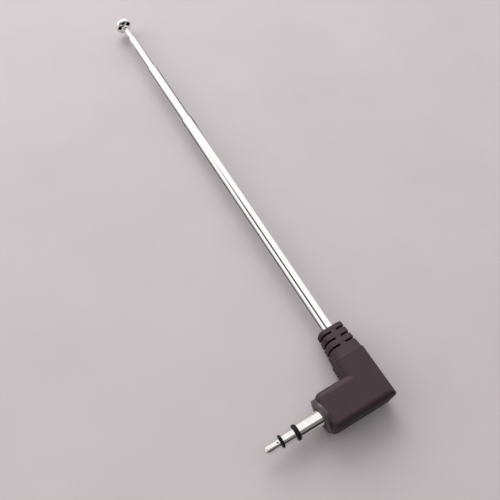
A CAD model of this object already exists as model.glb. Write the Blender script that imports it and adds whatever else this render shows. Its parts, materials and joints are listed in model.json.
"""Telescopic whip antenna on a right-angle jack plug: the looks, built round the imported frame.

The antenna lies on the flat side of its elbow. The whip runs along +Y, the plug along -X, and +Z is up.
Run it as a script: it registers its operators, calls them in order and finishes the scene.
"""

import json
import math

import bmesh
import bpy
from mathutils import Matrix, Vector


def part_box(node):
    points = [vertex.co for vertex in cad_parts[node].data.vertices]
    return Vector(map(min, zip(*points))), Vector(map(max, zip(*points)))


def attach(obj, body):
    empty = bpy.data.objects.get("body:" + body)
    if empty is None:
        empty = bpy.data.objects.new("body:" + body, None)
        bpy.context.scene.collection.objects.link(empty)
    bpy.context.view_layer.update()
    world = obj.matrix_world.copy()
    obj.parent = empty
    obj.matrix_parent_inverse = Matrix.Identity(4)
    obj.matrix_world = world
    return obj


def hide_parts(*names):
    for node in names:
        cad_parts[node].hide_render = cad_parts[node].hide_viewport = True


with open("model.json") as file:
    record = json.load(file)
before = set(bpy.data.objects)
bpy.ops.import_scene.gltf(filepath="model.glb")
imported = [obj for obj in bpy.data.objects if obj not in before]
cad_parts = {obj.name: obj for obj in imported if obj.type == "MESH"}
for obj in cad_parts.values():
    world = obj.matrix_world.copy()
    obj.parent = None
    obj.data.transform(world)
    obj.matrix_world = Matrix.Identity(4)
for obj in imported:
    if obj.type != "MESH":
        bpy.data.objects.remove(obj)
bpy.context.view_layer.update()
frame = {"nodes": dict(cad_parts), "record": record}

bl_info = {
    "name": "Telescopic Antenna",
    "version": (1, 0, 0),
    "blender": (4, 5, 0),
    "location": "View3D > Sidebar > Antenna",
    "description": "Builds a telescopic whip antenna with a moulded right-angle plug",
    "category": "Object",
}

MM = 0.001
ROUND = 96  # sides of a turned piece
BEND = 8  # segments of a quarter round


# ---------------------------------------------------------------- the frame's own places


def lowest(node):
    """Lowest corner of a node's box."""
    return Vector(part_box(node)[0])


def highest(node):
    """Highest corner of a node's box."""
    return Vector(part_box(node)[1])


def radius_across(node):
    """Outer radius of a node turned on the whip's or on the plug's axis."""
    return (highest(node).z - lowest(node).z) / 2


AXIS_HEIGHT = (lowest("base_tube").z + highest("base_tube").z) / 2
SEAT_GAP = 0.04 * MM  # between two pieces that sit fast in each other
ALONG_WHIP = Matrix.Translation((0, 0, AXIS_HEIGHT)) @ Matrix.Rotation(-math.pi / 2, 4, "X")
ALONG_PLUG = Matrix.Translation((0, 0, AXIS_HEIGHT)) @ Matrix.Rotation(-math.pi / 2, 4, "Y")
SIZE_UNITS = {"unit": "LENGTH", "precision": 5, "min": 0.0}


# ---------------------------------------------------------------- settings


class ElbowSettings(bpy.types.PropertyGroup):
    """Sizes of the moulded elbow and of its strain relief."""

    plug_side: bpy.props.FloatProperty(
        name="Plug bar side",
        description="From the plug's axis to the plug bar's inner side",
        default=4.3 * MM,
        **SIZE_UNITS,
    )
    bar_top: bpy.props.FloatProperty(
        name="Shoulder",
        description="From the plug's axis to the shoulder under the strain relief",
        default=8.2 * MM,
        **SIZE_UNITS,
    )
    bar_taper: bpy.props.FloatProperty(
        name="Bar taper",
        description="How much narrower the whip bar is at its shoulder, on each side",
        default=0.25 * MM,
        **SIZE_UNITS,
    )
    plug_rounding: bpy.props.FloatProperty(
        name="Plug bar rounding",
        description="Rounding of the plug bar's long edges",
        default=1.6 * MM,
        **SIZE_UNITS,
    )
    whip_rounding: bpy.props.FloatProperty(
        name="Whip bar rounding",
        description="Rounding of the whip bar's long edges",
        default=1.7 * MM,
        **SIZE_UNITS,
    )
    end_rounding: bpy.props.FloatProperty(
        name="End rounding",
        description="Rounding of the plug bar's end, round the collar",
        default=1.2 * MM,
        **SIZE_UNITS,
    )
    relief_foot: bpy.props.FloatVectorProperty(
        name="Relief foot",
        description="Half width and half thickness of the strain relief at the shoulder",
        default=(3.45 * MM, 4.05 * MM),
        size=2,
        **SIZE_UNITS,
    )
    relief_rim: bpy.props.FloatVectorProperty(
        name="Relief rim",
        description="Half width and half thickness of the strain relief at its rim",
        default=(2.95 * MM, 2.85 * MM),
        size=2,
        **SIZE_UNITS,
    )
    relief_rounding: bpy.props.FloatProperty(
        name="Relief rounding",
        description="Rounding of the strain relief's long edges",
        default=1.5 * MM,
        **SIZE_UNITS,
    )
    slot_count: bpy.props.IntProperty(
        name="Slots", description="Slots on each side of the strain relief", default=3, min=0
    )
    slot_width: bpy.props.FloatProperty(
        name="Slot width", description="Width of a slot", default=0.45 * MM, **SIZE_UNITS
    )
    slot_pitch: bpy.props.FloatProperty(
        name="Slot pitch",
        description="From the middle of one slot to the middle of the next",
        default=1.78 * MM,
        **SIZE_UNITS,
    )
    rim_height: bpy.props.FloatProperty(
        name="Rim height",
        description="From the last slot to the end of the strain relief",
        default=1.1 * MM,
        **SIZE_UNITS,
    )
    spine: bpy.props.FloatProperty(
        name="Spine",
        description="Width left between the slots on the top and on the underside",
        default=1.3 * MM,
        **SIZE_UNITS,
    )
    seam: bpy.props.FloatProperty(
        name="Mould seam",
        description="How far the line where the two mould halves met stands proud",
        default=0.025 * MM,
        **SIZE_UNITS,
    )
    colour: bpy.props.StringProperty(
        name="PVC colour", description="sRGB hex colour of the moulded PVC", default="2C1F23"
    )
    collar_colour: bpy.props.StringProperty(
        name="Collar colour", description="sRGB hex colour of the collar", default="332B2E"
    )


class MetalSettings(bpy.types.PropertyGroup):
    """Finishes of the plated metal and of the insulating washers."""

    chrome: bpy.props.StringProperty(
        name="Chrome", description="sRGB hex colour of the bright chrome", default="F7F6F5"
    )
    chrome_roughness: bpy.props.FloatProperty(
        name="Chrome roughness", description="Roughness of the bright chrome", default=0.05, min=0, max=1
    )
    nickel: bpy.props.StringProperty(
        name="Nickel", description="sRGB hex colour of the plug's nickel plate", default="F3F0ED"
    )
    nickel_roughness: bpy.props.FloatProperty(
        name="Nickel roughness", description="Roughness of the nickel plate", default=0.07, min=0, max=1
    )
    washer: bpy.props.StringProperty(
        name="Washer colour", description="sRGB hex colour of the plug's washers", default="0C0A0B"
    )


class StudioSettings(bpy.types.PropertyGroup):
    """Table, light and camera."""

    table: bpy.props.StringProperty(
        name="Table colour", description="sRGB hex colour of the table", default="A69FA1"
    )
    lens: bpy.props.FloatProperty(name="Lens", description="Focal length in millimetres", default=45.4)
    distance: bpy.props.FloatProperty(
        name="Camera distance",
        description="From the camera to the point that it looks at",
        default=158.4 * MM,
        unit="LENGTH",
    )
    aim: bpy.props.FloatVectorProperty(
        name="Aim",
        description="The point that the camera looks at",
        default=(-4.149 * MM, 44.247 * MM, 0.0),
        subtype="TRANSLATION",
    )
    azimuth: bpy.props.FloatProperty(
        name="Azimuth",
        description="Turn of the camera about the upright axis",
        default=math.radians(-30.4),
        subtype="ANGLE",
    )
    elevation: bpy.props.FloatProperty(
        name="Elevation",
        description="Height of the camera as an angle",
        default=math.radians(63.5),
        subtype="ANGLE",
    )
    window: bpy.props.FloatProperty(
        name="Window", description="Power of the window light in watts", default=5.6
    )
    side_window: bpy.props.FloatProperty(
        name="Side window", description="Power of the light on the plug's side in watts", default=1.9
    )
    kicker: bpy.props.FloatProperty(
        name="Kicker",
        description="Power of the light that glints on the elbow's edges in watts",
        default=1.2,
    )
    dome: bpy.props.FloatProperty(name="Tent", description="Brightness of the white tent", default=1.12)


# ---------------------------------------------------------------- materials

# The sockets of a Mix node that mixes colours, which share their names with those of its other kinds
MIX_FIRST, MIX_SECOND, MIX_RESULT = 6, 7, 2
NOISE_FLOOR, NOISE_CEILING = 0.3, 0.7  # the noise seldom goes past these


def linear(hex_colour):
    """Linear RGBA of an sRGB hex colour."""
    channels = [int(hex_colour[i : i + 2], 16) / 255 for i in (0, 2, 4)]
    return [c / 12.92 if c <= 0.04045 else ((c + 0.055) / 1.055) ** 2.4 for c in channels] + [1.0]


def add_node(tree, kind, settings=None, values=None, links=None):
    """Adds a node with its settings, its fixed input values and the outputs that its inputs take."""
    node = tree.nodes.new(kind)
    for key, value in (settings or {}).items():
        setattr(node, key, value)
    for key, value in (values or {}).items():
        node.inputs[key].default_value = value
    for key, output in (links or {}).items():
        tree.links.new(output, node.inputs[key])
    return node


def new_material(name, **values):
    """A material and its tree, with the fixed values set on its Principled shader's own sockets."""
    material = bpy.data.materials.new(name)
    material.use_nodes = True
    shader = material.node_tree.nodes["Principled BSDF"]
    for key, value in values.items():
        shader.inputs[key.replace("_", " ")].default_value = value
    return material, material.node_tree


def pattern(tree, grain, stretch=(1, 1, 1), detail=3.0):
    """Noise from 0 to 1 with grains of a real size, drawn out along the axes by stretch."""
    spot = add_node(tree, "ShaderNodeTexCoord").outputs["Object"]
    mapped = add_node(tree, "ShaderNodeMapping", values={"Scale": stretch}, links={"Vector": spot})
    noise = add_node(
        tree,
        "ShaderNodeTexNoise",
        values={"Scale": 1 / grain, "Detail": detail, "Roughness": 0.55},
        links={"Vector": mapped.outputs["Vector"]},
    )
    spread = add_node(
        tree,
        "ShaderNodeMapRange",
        values={"From Min": NOISE_FLOOR, "From Max": NOISE_CEILING},
        links={"Value": noise.outputs["Fac"]},
    )
    return spread.outputs["Result"]


def colour_between(tree, factor, first, second):
    """Base colour that wanders between two near colours."""
    mix = add_node(tree, "ShaderNodeMix", {"data_type": "RGBA"}, links={"Factor": factor})
    mix.inputs[MIX_FIRST].default_value = linear(first)
    mix.inputs[MIX_SECOND].default_value = linear(second)
    tree.links.new(mix.outputs[MIX_RESULT], tree.nodes["Principled BSDF"].inputs["Base Color"])


def roughness_between(tree, factor, low, high):
    """Roughness that wanders between two values."""
    spread = add_node(
        tree, "ShaderNodeMapRange", values={"To Min": low, "To Max": high}, links={"Value": factor}
    )
    tree.links.new(spread.outputs["Result"], tree.nodes["Principled BSDF"].inputs["Roughness"])


def raised_by(tree, height, depth, strength):
    """Fine relief of a real depth, drawn at a share of its strength."""
    bump = add_node(
        tree, "ShaderNodeBump", values={"Distance": depth, "Strength": strength}, links={"Height": height}
    )
    tree.links.new(bump.outputs["Normal"], tree.nodes["Principled BSDF"].inputs["Normal"])


def moulded_pvc(colour):
    """Flexible PVC, injection moulded: soft dark charcoal, with the fine eroded grain of its mould."""
    material, tree = new_material("moulded_pvc", Roughness=0.6, IOR=1.53, Specular_IOR_Level=0.3)
    # Cloudy mixing of the compound, over millimetres
    clouds = pattern(tree, 3.0 * MM)
    colour_between(tree, clouds, colour, "302227")
    # The mould's grain is 0.05 mm, and it is drawn at 0.16 mm so that it shows
    grain = pattern(tree, 0.16 * MM, detail=2.0)
    roughness_between(tree, grain, 0.54, 0.7)
    raised_by(tree, grain, 0.008 * MM, 0.7)
    return material


def moulded_abs(colour):
    """ABS, injection moulded in a satin tool: a lighter grey than the elbow, with a smoother skin."""
    material, tree = new_material("moulded_abs", Roughness=0.42, IOR=1.54, Specular_IOR_Level=0.3)
    clouds = pattern(tree, 1.5 * MM)
    colour_between(tree, clouds, colour, "3B3336")
    grain = pattern(tree, 0.12 * MM, detail=2.0)
    roughness_between(tree, grain, 0.36, 0.48)
    raised_by(tree, grain, 0.004 * MM, 0.6)
    return material


def bright_chrome(colour, roughness):
    """Chromium plated on drawn brass tube: mirror bright, with faint drawing lines along the tube."""
    material, tree = new_material("bright_chrome", Metallic=1.0, Roughness=roughness)
    lines = pattern(tree, 0.25 * MM, stretch=(1, 0.02, 1), detail=4.0)
    colour_between(tree, lines, colour, "ECEBEB")
    smears = pattern(tree, 4.0 * MM, stretch=(1, 0.4, 1))
    roughness_between(tree, smears, roughness * 0.8, roughness * 1.4)
    raised_by(tree, lines, 0.0006 * MM, 0.5)
    return material


def nickel_plate(colour, roughness):
    """Nickel plated on turned brass: warmer than chrome, with the turning tool's fine rings round it."""
    material, tree = new_material("nickel_plate", Metallic=1.0, Roughness=roughness)
    # The feed marks are 0.05 mm apart, and they are drawn 0.18 mm apart
    rings = pattern(tree, 0.18 * MM, stretch=(1, 0.02, 0.02), detail=2.0)
    colour_between(tree, rings, colour, "E4E0DB")
    roughness_between(tree, rings, roughness * 0.8, roughness * 1.5)
    raised_by(tree, rings, 0.001 * MM, 0.5)
    return material


def black_acetal(colour):
    """Acetal washer, moulded: nearly black, slightly waxy gloss."""
    material, tree = new_material("black_acetal", Roughness=0.45, IOR=1.48, Specular_IOR_Level=0.2)
    clouds = pattern(tree, 0.4 * MM)
    colour_between(tree, clouds, colour, "141112")
    roughness_between(tree, clouds, 0.4, 0.5)
    raised_by(tree, clouds, 0.003 * MM, 0.4)
    return material


def cut_metal(name, first, second, roughness, grain, stretch=(1, 1, 1)):
    """Bare metal of an inner piece, with the marks of how it was cut, rolled or drawn."""
    material, tree = new_material(name, Metallic=1.0, Roughness=roughness)
    marks = pattern(tree, grain, stretch=stretch)
    colour_between(tree, marks, first, second)
    roughness_between(tree, marks, roughness * 0.8, roughness * 1.3)
    raised_by(tree, marks, 0.002 * MM, 0.5)
    return material


def soft_plastic(name, first, second, roughness, grain, **values):
    """Plain plastic of an inner piece, slightly cloudy, with a faint moulded skin."""
    material, tree = new_material(name, Roughness=roughness, **values)
    clouds = pattern(tree, grain)
    colour_between(tree, clouds, first, second)
    roughness_between(tree, clouds, roughness * 0.85, roughness * 1.2)
    raised_by(tree, clouds, 0.004 * MM, 0.5)
    return material


def table_laminate(colour):
    """Melamine laminate: pale, faintly mottled and silky."""
    material, tree = new_material("table_laminate", Roughness=0.55, IOR=1.5)
    clouds = pattern(tree, 25 * MM, detail=4.0)
    colour_between(tree, clouds, colour, "A29B9D")
    return material


# ---------------------------------------------------------------- shaping

SHARP = math.radians(40)  # an edge that turns by more than this stays sharp
NEARLY_STRAIGHT = math.radians(89.5)  # half of a corner that isn't worth an arc
ARC_SHARE = 0.48  # the most of a side that an arc may take
ON_AXIS = 1e-6 * MM
WELD = 0.002 * MM
IN_LINE = 0.9999  # cosine of the angle within which corners lie on one line


def from_bmesh(name, bm, material):
    """Puts a mesh in the scene with one material, smooth but for its sharp edges."""
    bmesh.ops.recalc_face_normals(bm, faces=bm.faces)
    mesh = bpy.data.meshes.new(name)
    bm.to_mesh(mesh)
    bm.free()
    mesh.materials.append(material)
    mesh.shade_smooth()
    mesh.set_sharp_from_angle(angle=SHARP)
    piece = bpy.data.objects.new(name, mesh)
    bpy.context.collection.objects.link(piece)
    return piece


def eased(corners, steps=5):
    """Rounds the corners of a closed outline, each given as (x, y, rounding), with arcs of equal steps."""
    points = []
    for i, (x, y, rounding) in enumerate(corners):
        here = Vector((x, y))
        back = Vector(corners[i - 1][:2]) - here
        ahead = Vector(corners[(i + 1) % len(corners)][:2]) - here
        half = back.angle(ahead) / 2
        if rounding <= 0 or half > NEARLY_STRAIGHT:
            points.append(here)
            continue
        reach = min(rounding / math.tan(half), ARC_SHARE * back.length, ARC_SHARE * ahead.length)
        radius = reach * math.tan(half)
        middle = (back.normalized() + ahead.normalized()).normalized() * (radius / math.sin(half))
        first = back.normalized() * reach - middle
        last = ahead.normalized() * reach - middle
        sweep = -first.angle_signed(last)
        for step in range(steps + 1):
            points.append(here + middle + Matrix.Rotation(sweep * step / steps, 2) @ first)
    return points


def skin(bm, loops, closed=True):
    """Joins loops of equal length with faces."""
    count = len(loops[0])
    for lower, upper in zip(loops, loops[1:]):
        for i in range(count if closed else count - 1):
            j = (i + 1) % count
            bm.faces.new((lower[i], lower[j], upper[j], upper[i]))


def turned(name, outline, placing, material):
    """Turns an outline of (radius, height) points, which is closed or starts and ends on the axis."""
    bm = bmesh.new()
    solid = outline[0][0] < ON_AXIS
    if solid:
        foot, crown = (bm.verts.new((0, 0, outline[i][1])) for i in (0, -1))
        outline = outline[1:-1]
    rings = []
    for radius, height in outline:
        turns = (2 * math.pi * side / ROUND for side in range(ROUND))
        rings.append([bm.verts.new((radius * math.cos(t), radius * math.sin(t), height)) for t in turns])
    skin(bm, rings if solid else rings + rings[:1])
    if solid:
        for end, ring in ((foot, rings[0]), (crown, rings[-1])):
            for i, vert in enumerate(ring):
                bm.faces.new((end, vert, ring[(i + 1) % ROUND]))
    bm.transform(placing)
    return from_bmesh(name, bm, material)


def cylinder(name, radius, start, end, placing, material):
    """Solid cylinder between two heights."""
    return turned(name, [(0, start), (radius, start), (radius, end), (0, end)], placing, material)


def frame_outline(node, placing):
    """The outline that a turned node of the frame was made with, read along one line of its corners."""
    bm = bmesh.new()
    bm.from_mesh(frame["nodes"][node].data)
    bmesh.ops.remove_doubles(bm, verts=bm.verts, dist=WELD)
    bm.transform(placing.inverted())
    far = max(bm.verts, key=lambda vert: vert.co.xy.length)
    along = far.co.xy.normalized()
    on_line = {v for v in bm.verts if v.co.xy.length < WELD or v.co.xy.normalized().dot(along) > IN_LINE}
    joined = {v: [e.other_vert(v) for e in v.link_edges if e.other_vert(v) in on_line] for v in on_line}
    # A solid piece's line is open, and starts at the lower end of the two
    ends = sorted((v for v in on_line if len(joined[v]) == 1), key=lambda vert: vert.co.z)
    walk = [ends[0] if ends else far]
    while len(walk) < len(on_line):
        onward = [v for v in joined[walk[-1]] if v not in walk]
        if not onward:
            break
        walk.append(onward[0])
    outline = [(v.co.xy.length, v.co.z) for v in walk]
    if ends:
        outline = [(0.0, outline[0][1])] + outline + [(0.0, outline[-1][1])]
    bm.free()
    return outline


def body_of(node):
    """The moving body that a node of the frame belongs to."""
    bodies = frame["record"]["behaviour"]["bodies"]
    return next(body for body, nodes in bodies.items() if node in nodes)


def stand_in(piece, node):
    """The piece stands for a node of the frame, and rides where the node rides."""
    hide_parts(node)
    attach(piece, body_of(node))


def smooth_turned(name, node, placing, material, rounding, steps=4):
    """A node of the frame turned again, finely and with its edges broken."""
    outline = frame_outline(node, placing)
    corners = [(r, h, 0.0 if r < ON_AXIS else rounding) for r, h in outline]
    stand_in(turned(name, eased(corners, steps), placing, material), node)


def combine(piece, others, operation):
    """Joins the others to a piece, or cuts them from it, one by one."""
    for other in others:
        modifier = piece.modifiers.new(operation, "BOOLEAN")
        modifier.operation = operation
        modifier.object = other
        graph = bpy.context.evaluated_depsgraph_get()
        mesh = bpy.data.meshes.new_from_object(piece.evaluated_get(graph))
        piece.modifiers.clear()
        piece.data = mesh
        bpy.data.objects.remove(other)
    return piece


def dress(node, material):
    """Gives a node of the frame a new material."""
    piece = frame["nodes"][node]
    piece.data.materials.clear()
    piece.data.materials.append(material)


# ---------------------------------------------------------------- elbow

CORNER_STEPS = 6
SEAM_HALF_WIDTH = 0.07 * MM
SEAM_LEVELS = (-1, -0.5, 0.5, 1)  # shares of that half width: the middle two stand proud
SIDE_EDGE = 0.2 * MM  # of the elbow's corners, seen from above
OUTER_CORNER_TOP = 0.2 * MM
OUTER_CORNER_FOOT = 1.4 * MM
SHOULDER_EDGE = 0.2 * MM
ELBOW_SHARP = math.radians(32)
BAND_EDGE = 0.1 * MM  # of the ribs between the slots
BAND_STEPS = 3
SPINE_RECESS = 0.03 * MM
SPINE_END_GAP = 0.3 * MM
CORE_WALL = 0.55 * MM  # left round the base tube between the ribs
RELIEF_ROOT = 1.0 * MM  # how far the strain relief is sunk in the whip bar
CUT_PAST = 1.0 * MM  # how far a cutter goes past the face that it opens


def drawn_in(depth, rounding):
    """How far a rounded edge draws in at a depth below the flat face."""
    if depth >= rounding:
        return 0.0
    return rounding - math.sqrt(rounding**2 - (rounding - depth) ** 2)


def crossing(first, second):
    """Where two lines meet, each given as (point, direction)."""
    (p, d), (q, e) = first, second
    return p + d * (((q.x - p.x) * e.y - (q.y - p.y) * e.x) / (d.x * e.y - d.y * e.x))


def elbow_level(settings, end, height):
    """One level of the elbow, from the plug bar's outer side round to its inner side, open at the plug."""
    low, high = lowest("elbow_housing"), highest("elbow_housing")
    top = settings.bar_top
    foot, narrow = high.x, high.x - settings.bar_taper
    slope = settings.bar_taper / (top - low.y)
    corners = [
        Vector((end, low.y)),
        Vector((foot, low.y)),
        Vector((narrow, top)),
        Vector((-narrow, top)),
        Vector((-foot + slope * (settings.plug_side - low.y), settings.plug_side)),
        Vector((end, settings.plug_side)),
    ]
    plug, whip = settings.plug_rounding, settings.whip_rounding
    depth = min(height - low.z, high.z - height)
    # True at the seam's middle two levels only
    proud = abs(height - AXIS_HEIGHT) < 0.6 * SEAM_HALF_WIDTH
    seam = settings.seam if proud else 0.0
    sides = []
    for start, stop, rounding in zip(corners, corners[1:], (plug, whip, SHOULDER_EDGE, whip, plug)):
        along = (stop - start).normalized()
        inwards = Vector((-along.y, along.x))
        sides.append((start + inwards * (drawn_in(depth, rounding) - seam), along))
    share = (height - low.z) / (high.z - low.z)
    outer = OUTER_CORNER_FOOT + (OUTER_CORNER_TOP - OUTER_CORNER_FOOT) * share
    marks = [(end, sides[0][0].y, 0.0)]
    for first, second, rounding in zip(sides, sides[1:], (outer, SIDE_EDGE, SIDE_EDGE, SIDE_EDGE)):
        marks.append((*crossing(first, second), rounding))
    marks.append((end, sides[4][0].y, 0.0))
    return [(x, y, height) for x, y in eased(marks, CORNER_STEPS)]


def make_elbow_body(settings, material):
    """L-shaped body lofted level by level, and its rounded end round the plug."""
    low, high = lowest("elbow_housing"), highest("elbow_housing")
    end = low.x + settings.end_rounding
    deepest = max(settings.plug_rounding, settings.whip_rounding)
    depths = [deepest * (1 - math.cos(math.pi / 2 * step / BEND)) for step in range(BEND + 1)]
    seam = [AXIS_HEIGHT + share * SEAM_HALF_WIDTH for share in SEAM_LEVELS]
    heights = [low.z + d for d in depths] + seam + [high.z - d for d in reversed(depths)]
    bm = bmesh.new()
    levels = [[bm.verts.new(p) for p in elbow_level(settings, end, height)] for height in heights]
    skin(bm, levels, closed=False)
    bm.faces.new(levels[0])
    bm.faces.new(levels[-1])
    rings = [[level[0] for level in levels] + [level[-1] for level in reversed(levels)]]
    middle_y = (low.y + settings.plug_side) / 2
    half_width = (settings.plug_side - low.y) / 2
    half_thickness = (high.z - low.z) / 2
    for step in range(1, BEND + 1):
        angle = math.pi / 2 * step / BEND
        inset = settings.end_rounding * (1 - math.cos(angle))
        x = end - settings.end_rounding * math.sin(angle)
        across, upright = 1 - inset / half_width, 1 - inset / half_thickness
        ring = []
        for vert in rings[0]:
            y = middle_y + (vert.co.y - middle_y) * across
            ring.append(bm.verts.new((x, y, AXIS_HEIGHT + (vert.co.z - AXIS_HEIGHT) * upright)))
        rings.append(ring)
    skin(bm, rings)
    bm.faces.new(rings[-1])
    return from_bmesh("elbow", bm, material)


def relief_section(settings, y, inset):
    """Section of the strain relief at y: a rounded rectangle with the mould's seam on its two sides."""
    share = (y - settings.bar_top) / (highest("elbow_housing").y - settings.bar_top)
    foot, rim = settings.relief_foot, settings.relief_rim
    wide = foot[0] + (rim[0] - foot[0]) * share - inset
    thick = foot[1] + (rim[1] - foot[1]) * share - inset
    proud, seam = wide + settings.seam, SEAM_HALF_WIDTH
    rounding = settings.relief_rounding
    corners = [
        (proud, -seam / 2, 0),
        (proud, seam / 2, 0),
        (wide, seam, 0),
        (wide, thick, rounding),
        (-wide, thick, rounding),
        (-wide, seam, 0),
        (-proud, seam / 2, 0),
        (-proud, -seam / 2, 0),
        (-wide, -seam, 0),
        (-wide, -thick, rounding),
        (wide, -thick, rounding),
        (wide, -seam, 0),
    ]
    return [(x, y, AXIS_HEIGHT + z) for x, z in eased(corners, BEND)]


def relief_band(settings, start, end, material):
    """One rib of the strain relief, with its two edges rounded."""
    turns = [math.pi / 2 * step / BAND_STEPS for step in range(BAND_STEPS + 1)]
    # How far each level of an edge lies inside the end and inside the side
    edge = [(BAND_EDGE * (1 - math.sin(turn)), BAND_EDGE * (1 - math.cos(turn))) for turn in turns]
    levels = [(start + along, inset) for along, inset in reversed(edge)]
    levels += [(end - along, inset) for along, inset in edge]
    bm = bmesh.new()
    loops = [[bm.verts.new(p) for p in relief_section(settings, y, inset)] for y, inset in levels]
    skin(bm, loops)
    bm.faces.new(loops[0])
    bm.faces.new(loops[-1])
    return from_bmesh("relief_band", bm, material)


def make_spine(settings, start, end, material):
    """The web that joins the ribs on the top and on the underside."""
    bm = bmesh.new()
    loops = []
    for y in (start, end):
        section = relief_section(settings, y, SPINE_RECESS)
        thick = max(z for x, y, z in section) - AXIS_HEIGHT
        half = settings.spine / 2
        corners = ((-half, -thick), (half, -thick), (half, thick), (-half, thick))
        loops.append([bm.verts.new((x, y, AXIS_HEIGHT + z)) for x, z in corners])
    skin(bm, loops)
    bm.faces.new(loops[0])
    bm.faces.new(loops[1])
    return from_bmesh("spine", bm, material)


def relief_pieces(settings, material):
    """Ribs, core and spine of the strain relief."""
    top = highest("elbow_housing").y
    ends = []
    stop = top
    length = settings.rim_height
    for _slot in range(settings.slot_count):
        ends.append((stop - length, stop))
        stop -= length + settings.slot_width
        length = settings.slot_pitch - settings.slot_width
    ends.append((settings.bar_top - RELIEF_ROOT, stop))
    root = ends[-1][0]
    core_radius = radius_across("base_tube") + CORE_WALL
    bands = [relief_band(settings, start, end, material) for start, end in reversed(ends)]
    core = cylinder("core", core_radius, root, top - BAND_EDGE, ALONG_WHIP, material)
    spine = make_spine(settings, root + BAND_EDGE, top - SPINE_END_GAP, material)
    return [*bands, core, spine]


def elbow_hollows(material):
    """The collar's seat, the room for the contacts, the stud's room and the whip's bore."""
    face = -lowest("elbow_housing").x + CUT_PAST
    mouth = highest("elbow_housing").y + CUT_PAST
    foot = lowest("base_tube").y
    hollows = (
        ("seat", "plug_collar", -highest("plug_collar").x - SEAT_GAP, face, ALONG_PLUG),
        ("room", "inner_core", -highest("inner_core").x - SEAT_GAP, face, ALONG_PLUG),
        ("stud_room", "base_stud", 0, foot + SEAT_GAP, ALONG_WHIP),
        ("bore", "base_tube", foot, mouth, ALONG_WHIP),
    )
    return [
        cylinder(name, radius_across(node) + SEAT_GAP, start, end, placing, material)
        for name, node, start, end, placing in hollows
    ]


class ANTENNA_OT_elbow(bpy.types.Operator):
    """Moulded elbow: the L-shaped body, the slotted strain relief and the hollow inside"""

    bl_idname = "antenna.elbow"
    bl_label = "Elbow"

    def execute(self, context):
        settings = context.scene.antenna_elbow
        material = moulded_pvc(settings.colour)
        elbow = make_elbow_body(settings, material)
        combine(elbow, relief_pieces(settings, material), "UNION")
        combine(elbow, elbow_hollows(material), "DIFFERENCE")
        elbow.data.shade_smooth()
        elbow.data.set_sharp_from_angle(angle=ELBOW_SHARP)
        weighted = elbow.modifiers.new("flat faces", "WEIGHTED_NORMAL")
        weighted.keep_sharp = True
        stand_in(elbow, "elbow_housing")
        return {"FINISHED"}


PLUG_RADIUS = 1.75 * MM
COLLAR_RIM = 0.9 * MM
COLLAR_DISH = 0.4 * MM
COLLAR_BACK_EDGE = 0.1 * MM
COLLAR_FACE_EDGE = 0.25 * MM
COLLAR_DISH_EDGE = 0.5 * MM


class ANTENNA_OT_collar(bpy.types.Operator):
    """Collar between the elbow and the plug"""

    bl_idname = "antenna.collar"
    bl_label = "Collar"

    def execute(self, context):
        material = moulded_abs(context.scene.antenna_elbow.collar_colour)
        back, face = -highest("plug_collar").x, -lowest("plug_collar").x
        rim = radius_across("plug_collar")
        bore = PLUG_RADIUS + SEAT_GAP
        # The face is dished a little round the plug
        outline = [
            (bore, back, 0),
            (rim, back, COLLAR_BACK_EDGE),
            (rim, face, COLLAR_FACE_EDGE),
            (rim - COLLAR_RIM, face, COLLAR_DISH_EDGE),
            (bore, face - COLLAR_DISH, 0),
        ]
        collar = turned("collar", eased(outline), ALONG_PLUG, material)
        stand_in(collar, "plug_collar")
        return {"FINISHED"}


# ---------------------------------------------------------------- plug and whip


class ANTENNA_OT_plug(bpy.types.Operator):
    """Jack plug: three plated contacts and the two washers between them"""

    bl_idname = "antenna.plug"
    bl_label = "Plug"

    def execute(self, context):
        settings = context.scene.antenna_metal
        nickel = nickel_plate(settings.nickel, settings.nickel_roughness)
        acetal = black_acetal(settings.washer)
        # The last value is the rounding of the piece's edges
        pieces = (
            ("sleeve", "plug_sleeve", nickel, "nickel_plate", 0.06 * MM),
            ("rear_washer", "ring_insulator", acetal, "black_acetal", 0.04 * MM),
            ("ring", "plug_ring", nickel, "nickel_plate", 0.06 * MM),
            ("front_washer", "tip_insulator", acetal, "black_acetal", 0.04 * MM),
            ("tip", "plug_tip", nickel, "nickel_plate", 0.2 * MM),
        )
        for name, node, material, slot, rounding in pieces:
            smooth_turned(name, node, ALONG_PLUG, material, rounding)
        return {"FINISHED"}


FERRULE_WALL = 0.35 * MM
ROD_RADIUS = radius_across("knob_ferrule") - FERRULE_WALL
ROD_HOLE = 1.1 * MM  # how deep the rod goes into the button
FERRULE_CONE = 0.35 * MM
FERRULE_EDGE = 0.05 * MM
BUTTON_SPOT_FACE = 0.1 * MM  # flat ring round the ferrule
BUTTON_SPOT_EDGE = 0.05 * MM
BUTTON_CONE = 0.44 * MM  # height of the cone on the button's underside
BUTTON_FOOT_EDGE = 0.5 * MM
BUTTON_TOP_EDGE = 0.45 * MM
BUTTON_CROWN = 0.15 * MM
BUTTON_STEPS = 8


def ferrule_outline():
    """Ring with a cone towards the rod."""
    foot, top = lowest("knob_ferrule").y, highest("knob_ferrule").y
    bore, rim = ROD_RADIUS + SEAT_GAP, radius_across("knob_ferrule")
    return [
        (bore, foot - FERRULE_CONE, 0),
        (rim, foot, FERRULE_EDGE),
        (rim, top, FERRULE_EDGE),
        (bore, top, 0),
    ]


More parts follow.
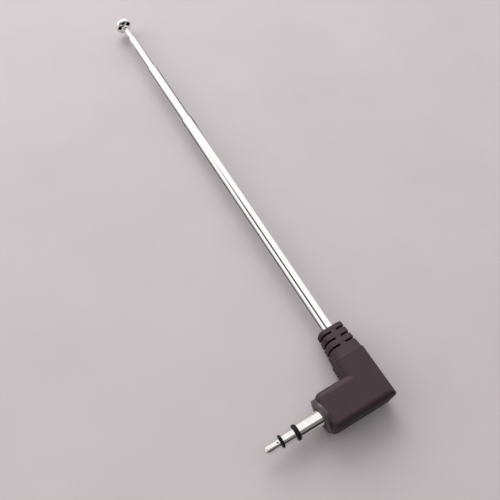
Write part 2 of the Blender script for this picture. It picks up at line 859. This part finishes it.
def button_outline():
    """Button with a cone underneath, a rounded rim and a slightly crowned top."""
    foot, top = lowest("knob").y, highest("knob").y
    bore, rim = ROD_RADIUS + SEAT_GAP, radius_across("knob")
    spot = radius_across("knob_ferrule") + BUTTON_SPOT_FACE
    return [
        (0, foot + ROD_HOLE, 0),
        (bore, foot + ROD_HOLE, 0),
        (bore, foot, 0),
        (spot, foot, BUTTON_SPOT_EDGE),
        (rim, foot + BUTTON_CONE, BUTTON_FOOT_EDGE),
        (rim, top - BUTTON_CROWN, BUTTON_TOP_EDGE),
        (0, top, 0),
    ]


class ANTENNA_OT_whip(bpy.types.Operator):
    """Whip: three drawn tubes with rolled mouths, the rod, its ferrule and the button knob"""

    bl_idname = "antenna.whip"
    bl_label = "Whip"

    def execute(self, context):
        settings = context.scene.antenna_metal
        chrome = bright_chrome(settings.chrome, settings.chrome_roughness)
        # The last value is the rounding of the piece's edges
        pieces = (
            ("base_section", "base_tube", 0.1 * MM),
            ("second_section", "lower_tube", 0.08 * MM),
            ("third_section", "middle_tube", 0.07 * MM),
            ("rod", "tip_rod", 0.07 * MM),
        )
        for name, node, rounding in pieces:
            smooth_turned(name, node, ALONG_WHIP, chrome, rounding)
        ferrule = turned("ferrule", eased(ferrule_outline()), ALONG_WHIP, chrome)
        stand_in(ferrule, "knob_ferrule")
        button = turned("button", eased(button_outline(), BUTTON_STEPS), ALONG_WHIP, chrome)
        stand_in(button, "knob")
        return {"FINISHED"}


class ANTENNA_OT_inside(bpy.types.Operator):
    """Pieces inside: friction sleeves, core, stud, lugs, wire and solder"""

    bl_idname = "antenna.inside"
    bl_label = "Inside"

    def execute(self, context):
        bronze = cut_metal("phosphor_bronze", "C58A66", "A8714F", 0.3, 0.2 * MM, stretch=(1, 0.05, 1))
        brass = cut_metal("brass", "D9B36A", "B8924C", 0.3, 0.15 * MM)
        copper = cut_metal("tinned_copper", "D6D0C8", "B9B2A9", 0.35, 0.1 * MM)
        solder = cut_metal("solder", "C9C9C7", "A3A3A2", 0.4, 0.3 * MM)
        core = soft_plastic("polyethylene", "C6C5BA", "B4B3A6", 0.5, 1.5 * MM, Subsurface_Weight=0.1)
        coat = soft_plastic("silicone", "2E6B45", "285C3C", 0.6, 0.5 * MM)
        for node in ("lower_spring", "middle_spring", "upper_spring"):
            dress(node, bronze)
        for node in ("ground_lug", "ring_lug", "tip_lug", "base_stud"):
            dress(node, brass)
        for node in ("stud_solder", "lug_solder"):
            dress(node, solder)
        dress("link_wire", copper)
        dress("inner_core", core)
        dress("wire_coat", coat)
        return {"FINISHED"}


# ---------------------------------------------------------------- studio

TABLE_SIZE = 2.4
# How far the knob moves when every section is pulled right out
SECTIONS_OUT = sum(
    joint["range_m"][1] for joint in frame["record"]["behaviour"]["joints"] if joint["type"] == "slide"
)
# With every section out the knob rests on the table, so that no pose of the whip sinks into it
TABLE_TILT = math.atan((AXIS_HEIGHT - radius_across("knob")) / (highest("knob").y + SECTIONS_OUT))
# Brightness of the tent by its direction along the whip: -1 is behind the elbow, 1 is past the knob
TENT = (
    (-1.0, 0.03),
    (-0.87, 0.04),
    (-0.81, 0.19),
    (-0.36, 0.24),
    (-0.22, 1.0),
    (0.95, 1.0),
    (1.0, 0.8),
)
TENT_TINT = (1.0, 0.985, 0.99)
BACKDROP = "D9D3D4"
LIT_POINT = Vector((0, 0.05, 0))
# Place and width of each lamp in metres
LAMPS = {
    "window": ((0.12, 0.62, 0.42), 0.62),
    "side_window": ((-0.45, 0.42, 0.36), 0.6),
    "kicker": ((0.06, 0.52, 0.28), 0.16),
}
FLAG_DISTANCE = 0.4
FLAG_WIDTH = math.radians(25)  # as the whip sees it
FLAG_SHOULDER = 0.22  # how far along the whip it keeps its width
FLAG_POINT = 0.32  # how far along the whip it ends
FLAG_LEAN = math.radians(-31)  # from straight overhead, towards the plug's side
CARD_CLEAR_SPACE = 1.0 * MM
CARD_LIFT = 0.1 * MM  # over the table
CARD_END_GAP = 3 * MM  # before the knob
LEFT_CARD = (-8 * MM, -3 * MM)  # from the whip's axis
RIGHT_CARD = (2.5 * MM, 30 * MM)
CLOSEST_SEEN = 5 * MM


def make_table(material):
    """Table that the elbow's flat side lies on."""
    bm = bmesh.new()
    bmesh.ops.create_grid(bm, x_segments=1, y_segments=1, size=TABLE_SIZE / 2)
    bm.transform(Matrix.Rotation(TABLE_TILT, 4, "X"))
    table = from_bmesh("table", bm, material)


def dark_card(name, corners, placing):
    """Black flocked card that only shows in polished metal, and not in what lies within its clear space."""
    dull = {"Base_Color": (0, 0, 0, 1), "Roughness": 1.0, "Specular_IOR_Level": 0.0}
    material, tree = new_material(f"black_flock_{name}", **dull)
    flock = tree.nodes["Principled BSDF"]
    length = add_node(tree, "ShaderNodeLightPath").outputs["Ray Length"]
    far = add_node(
        tree, "ShaderNodeMath", {"operation": "GREATER_THAN"}, {1: CARD_CLEAR_SPACE}, {0: length}
    )
    nothing = add_node(tree, "ShaderNodeBsdfTransparent")
    near_and_far = {1: nothing.outputs["BSDF"], 2: flock.outputs["BSDF"]}
    mix = add_node(tree, "ShaderNodeMixShader", links={"Fac": far.outputs["Value"], **near_and_far})
    tree.links.new(mix.outputs["Shader"], tree.nodes["Material Output"].inputs["Surface"])
    bm = bmesh.new()
    bm.faces.new([bm.verts.new(corner) for corner in corners])
    bm.transform(placing)
    card = from_bmesh(name, bm, material)
    card.visible_camera = False
    card.visible_diffuse = False
    card.visible_shadow = False


def make_cards():
    """Cards over and beside the whip: they draw the thin dark lines along its middle and its sides."""
    across = math.tan(FLAG_WIDTH / 2) * FLAG_DISTANCE
    # The upper one points away from the elbow, so that its line fades out along the whip
    outline = (
        (-across, 0.0),
        (across, 0.0),
        (across, FLAG_SHOULDER),
        (0.0, FLAG_POINT),
        (-across, FLAG_SHOULDER),
    )
    overhead = [(x, y, FLAG_DISTANCE) for x, y in outline]
    dark_card("flag", overhead, Matrix.Rotation(FLAG_LEAN, 4, "Y"))
    end = lowest("knob").y - CARD_END_GAP
    sides = (
        ("left_card", LEFT_CARD, highest("elbow_housing").y),
        ("right_card", RIGHT_CARD, highest("base_tube").y),
    )
    for name, (left, right), start in sides:
        outline = ((left, start), (right, start), (right, end), (left, end))
        dark_card(name, [(x, y, CARD_LIFT) for x, y in outline], Matrix.Rotation(TABLE_TILT, 4, "X"))


def make_lamp(name, power):
    """Soft round light. It isn't mirrored: what the polished metal mirrors is the tent."""
    place, size = LAMPS[name]
    lamp = bpy.data.lights.new(name, "AREA")
    lamp.shape = "DISK"
    lamp.size = size
    lamp.energy = power
    holder = bpy.data.objects.new(name, lamp)
    holder.visible_glossy = False
    bpy.context.collection.objects.link(holder)
    holder.location = place
    holder.rotation_euler = (LIT_POINT - Vector(place)).to_track_quat("-Z", "Y").to_euler()
    return holder


def make_dome(strength):
    """White tent round the table, open on the side where the maker stands."""
    world = bpy.data.worlds.new("tent")
    bpy.context.scene.world = world
    world.use_nodes = True
    tree = world.node_tree
    direction = add_node(tree, "ShaderNodeTexCoord").outputs["Generated"]
    parts = add_node(tree, "ShaderNodeSeparateXYZ", links={"Vector": direction})
    along_whip = {"Value": parts.outputs["Y"]}
    share = add_node(tree, "ShaderNodeMapRange", values={"From Min": -1.0}, links=along_whip)
    ramp = add_node(tree, "ShaderNodeValToRGB", links={"Fac": share.outputs["Result"]})
    stops = ramp.color_ramp.elements
    while len(stops) < len(TENT):
        stops.new(1.0)
    for stop, (along, grey) in zip(stops, TENT):
        stop.position = (along + 1) / 2
        stop.color = (*(grey * tint for tint in TENT_TINT), 1)
    # Straight on, the tent is plain: only its light and its reflections are shaded
    seen = add_node(tree, "ShaderNodeLightPath").outputs["Is Camera Ray"]
    mix = add_node(tree, "ShaderNodeMix", {"data_type": "RGBA"}, links={"Factor": seen})
    mix.inputs[MIX_SECOND].default_value = linear(BACKDROP)
    tree.links.new(ramp.outputs["Color"], mix.inputs[MIX_FIRST])
    background = tree.nodes["Background"]
    tree.links.new(mix.outputs[MIX_RESULT], background.inputs["Color"])
    background.inputs["Strength"].default_value = strength


def make_camera(settings):
    """Camera that looks at its aim from a distance, an azimuth and an elevation."""
    level = math.cos(settings.elevation)
    side, back = math.sin(settings.azimuth) * level, -math.cos(settings.azimuth) * level
    away = Vector((side, back, math.sin(settings.elevation)))
    camera = bpy.data.cameras.new("camera")
    camera.lens = settings.lens
    camera.clip_start = CLOSEST_SEEN
    holder = bpy.data.objects.new("camera", camera)
    bpy.context.collection.objects.link(holder)
    holder.location = Vector(settings.aim) + away * settings.distance
    holder.rotation_euler = away.to_track_quat("Z", "Y").to_euler()
    bpy.context.scene.camera = holder


class ANTENNA_OT_studio(bpy.types.Operator):
    """Table, white tent, dark cards, lamps and camera"""

    bl_idname = "antenna.studio"
    bl_label = "Studio"

    def execute(self, context):
        settings = context.scene.antenna_studio
        make_table(table_laminate(settings.table))
        make_dome(settings.dome)
        make_cards()
        make_lamp("window", settings.window)
        make_lamp("side_window", settings.side_window)
        kicker = make_lamp("kicker", settings.kicker)
        # It glints on the moulded pieces alone
        kicker.visible_glossy = True
        moulded = bpy.data.collections.new("moulded")
        for piece in ("elbow", "collar"):
            moulded.objects.link(bpy.data.objects[piece])
        kicker.light_linking.receiver_collection = moulded
        make_camera(settings)
        context.scene.view_settings.view_transform = "Standard"
        return {"FINISHED"}


# ---------------------------------------------------------------- add-on


class ANTENNA_PT_panel(bpy.types.Panel):
    """Settings and operators of the antenna"""

    bl_label = "Telescopic antenna"
    bl_space_type = "VIEW_3D"
    bl_region_type = "UI"
    bl_category = "Antenna"

    def draw(self, context):
        layout = self.layout
        for holder in ("antenna_elbow", "antenna_metal", "antenna_studio"):
            settings = getattr(context.scene, holder)
            box = layout.box()
            for key in settings.bl_rna.properties.keys():
                if key not in ("name", "rna_type"):
                    box.prop(settings, key)
        for operator in OPERATORS:
            layout.operator(operator.bl_idname)


OPERATORS = (
    ANTENNA_OT_elbow,
    ANTENNA_OT_collar,
    ANTENNA_OT_plug,
    ANTENNA_OT_whip,
    ANTENNA_OT_inside,
    ANTENNA_OT_studio,
)
CLASSES = (ElbowSettings, MetalSettings, StudioSettings, *OPERATORS, ANTENNA_PT_panel)


def register():
    for entry in CLASSES:
        bpy.utils.register_class(entry)
    bpy.types.Scene.antenna_elbow = bpy.props.PointerProperty(type=ElbowSettings)
    bpy.types.Scene.antenna_metal = bpy.props.PointerProperty(type=MetalSettings)
    bpy.types.Scene.antenna_studio = bpy.props.PointerProperty(type=StudioSettings)


def unregister():
    del bpy.types.Scene.antenna_studio
    del bpy.types.Scene.antenna_metal
    del bpy.types.Scene.antenna_elbow
    for entry in reversed(CLASSES):
        bpy.utils.unregister_class(entry)


def main():
    register()
    bpy.ops.antenna.elbow()
    bpy.ops.antenna.collar()
    bpy.ops.antenna.plug()
    bpy.ops.antenna.whip()
    bpy.ops.antenna.inside()
    bpy.ops.antenna.studio()


if __name__ == "__main__":
    main()
